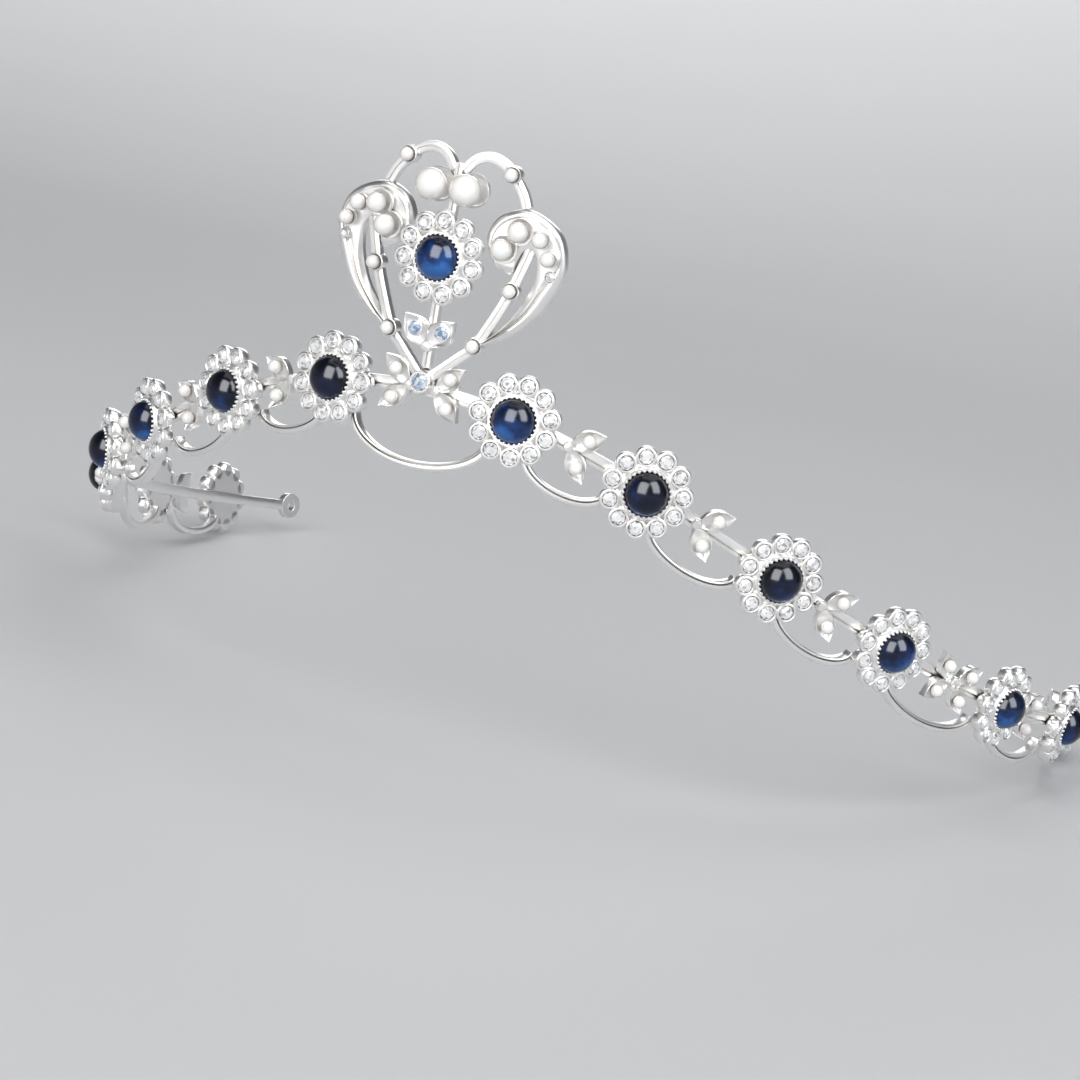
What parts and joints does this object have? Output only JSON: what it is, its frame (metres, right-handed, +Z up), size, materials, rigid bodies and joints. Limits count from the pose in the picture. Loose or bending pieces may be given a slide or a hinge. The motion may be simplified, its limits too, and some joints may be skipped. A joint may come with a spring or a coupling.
{
  "type": "bridal tiara",
  "caption": "Curved silver headband of daisy clusters set with blue domed stones, leaf sprigs and festoons, rising to a heart-shaped scrolled crest with pearls.",
  "frame": {"origin": "bottom centre of the tiara's bounding box, in the middle of the head opening at the level of the lowest daisy", "axes": "+Z up the crest as worn, -Y out of the front of the crest, +Y towards the open ends of the band, X across the head; X = 0 is the mirror plane"},
  "size_m": [0.1688, 0.1292, 0.0849],
  "materials": {
    "silver": "bright polished silver, slightly satin",
    "sapphire": "deep blue domed glass stone",
    "pale_blue": "pale blue faceted stone",
    "crystal": "clear faceted crystal",
    "pearl": "lustrous white pearl"
  },
  "bodies": {
    "root": {"arch_left": "silver", "arch_right": "silver", "cabochon_crest": "sapphire", "cabochons_left": "sapphire", "cabochons_right": "sapphire", "collet_pearls_left": "pearl", "collet_pearls_right": "pearl", "crest_branch_left": "silver", "crest_branch_right": "silver", "crest_leaf_stones": "pale_blue", "crest_leaves": "silver", "crest_stem": "silver", "daisy_crystals_crest": "crystal", "daisy_crystals_left": "crystal", "daisy_crystals_right": "crystal", "daisy_setting_crest": "silver", "daisy_settings_left": "silver", "daisy_settings_right": "silver", "end_eyelet_left": "silver", "end_eyelet_right": "silver", "festoon_1_left": "silver", "festoon_1_right": "silver", "festoon_2_left": "silver", "festoon_2_right": "silver", "festoon_3_left": "silver", "festoon_3_right": "silver", "festoon_4_left": "silver", "festoon_4_right": "silver", "festoon_5_left": "silver", "festoon_5_right": "silver", "festoon_6_left": "silver", "festoon_6_right": "silver", "festoon_centre": "silver", "four_leaf_pearls_left": "pearl", "four_leaf_pearls_right": "pearl", "four_leaf_sprig_left": "silver", "four_leaf_sprig_right": "silver", "hub_collet": "silver", "hub_leaves_left": "silver", "hub_leaves_right": "silver", "hub_pearls_left": "pearl", "hub_pearls_right": "pearl", "hub_stone": "pale_blue", "leaf_sprigs_left": "silver", "leaf_sprigs_right": "silver", "rail_left": "silver", "rail_right": "silver", "sprig_pearls_left": "pearl", "sprig_pearls_right": "pearl", "top_pearl_cup_left": "silver", "top_pearl_cup_right": "silver", "top_pearl_left": "pearl", "top_pearl_right": "pearl", "volute_crystal_left": "crystal", "volute_crystal_right": "crystal", "volute_left": "silver", "volute_pearls_left": "pearl", "volute_pearls_right": "pearl", "volute_right": "silver"}
  },
  "joints": []
}
